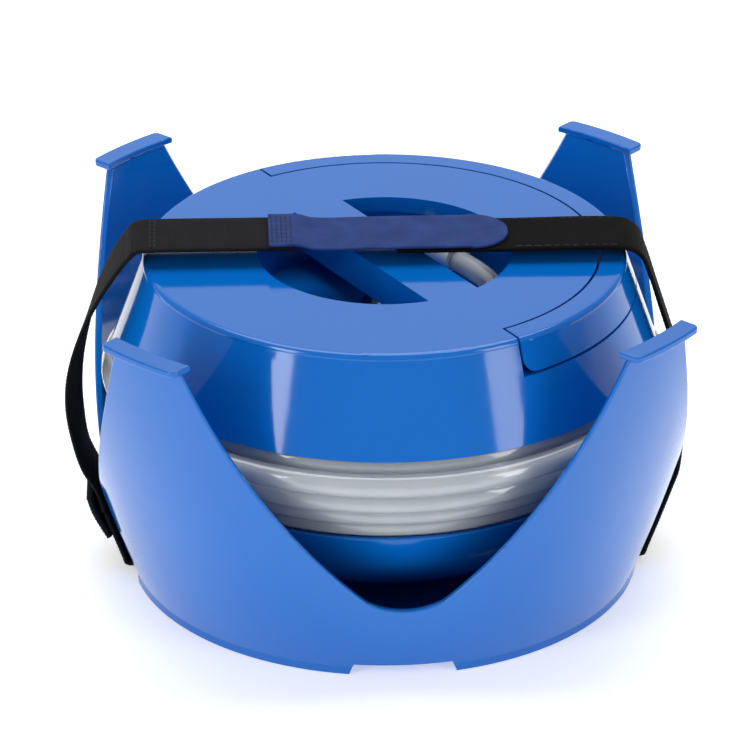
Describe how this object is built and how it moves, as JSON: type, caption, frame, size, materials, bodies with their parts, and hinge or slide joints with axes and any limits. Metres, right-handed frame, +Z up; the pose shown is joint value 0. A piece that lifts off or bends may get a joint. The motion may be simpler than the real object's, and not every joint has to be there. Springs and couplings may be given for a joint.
{
  "type": "hose reel in a cradle",
  "caption": "Reel of clear levelling hose on a turning drum with a flush bail handle, in a four-horned cradle closed by a hook-and-loop strap.",
  "frame": {"origin": "centre of the cradle's foot ring, on the floor it stands on", "axes": "+Z up along the spindle; X along the strap, through the left and right notches; Y through the front and back notches"},
  "size_m": [0.2676, 0.2472, 0.1543],
  "materials": {
    "blue_plastic": "glossy moulded polypropylene, mid blue",
    "white_plastic": "translucent white moulded plastic",
    "steel": "zinc plated steel",
    "clear_hose": "clear soft PVC hose",
    "black_webbing": "black ribbed hook webbing",
    "black_loop": "black napped loop fabric",
    "navy_tab": "navy brushed loop fabric with a sewn end"
  },
  "bodies": {
    "cradle": {"cradle_shell": "blue_plastic", "spindle": "steel", "thrust_washer": "white_plastic", "retaining_washer": "steel", "retaining_screw": "steel", "strap_base_run": "black_webbing", "strap_left_run": "black_webbing", "strap_keeper": "black_webbing"},
    "drum": {"top_cover": "blue_plastic", "hub_core": "blue_plastic", "hub_bushes": "white_plastic", "lower_cup": "blue_plastic", "cup_screws": "steel", "cover_screws": "steel", "bail_pins": "steel", "hose_coil": "clear_hose", "hose_lead": "clear_hose", "inner_stopper": "white_plastic", "outer_stopper": "white_plastic"},
    "bail": {"bail_handle": "blue_plastic"},
    "strap_left_flap": {"strap_webbing": "black_webbing", "pull_tab": "navy_tab"},
    "strap_right_flap": {"strap_loop_run": "black_loop"}
  },
  "joints": [
    {"name": "drum_spin", "type": "hinge", "parent": "cradle", "child": "drum", "pos_m": [0, 0, 0.022], "axis": [0, 0, 1], "continuous": true},
    {"name": "strap_open", "type": "hinge", "parent": "cradle", "child": "strap_left_flap", "pos_m": [-0.10645, 0.00334, 0.151], "axis": [-0.0314, -0.9995, 0], "range_deg": [0, 178]},
    {"name": "strap_right_open", "type": "hinge", "parent": "cradle", "child": "strap_right_flap", "pos_m": [0.12794, -0.00402, 0.088], "axis": [0.0314, 0.9995, 0], "range_deg": [0, 152]},
    {"name": "bail_lift", "type": "hinge", "parent": "drum", "child": "bail", "pos_m": [0.00659, 0.00358, 0.14], "axis": [0.4772, -0.8788, 0], "range_deg": [0, 88]}
  ],
  "couplings": [
    {"joint": "strap_right_open", "follows": "strap_open", "ratio": 0.85},
    {"joint": "bail_lift", "follows": "strap_open", "ratio": 0.49}
  ]
}
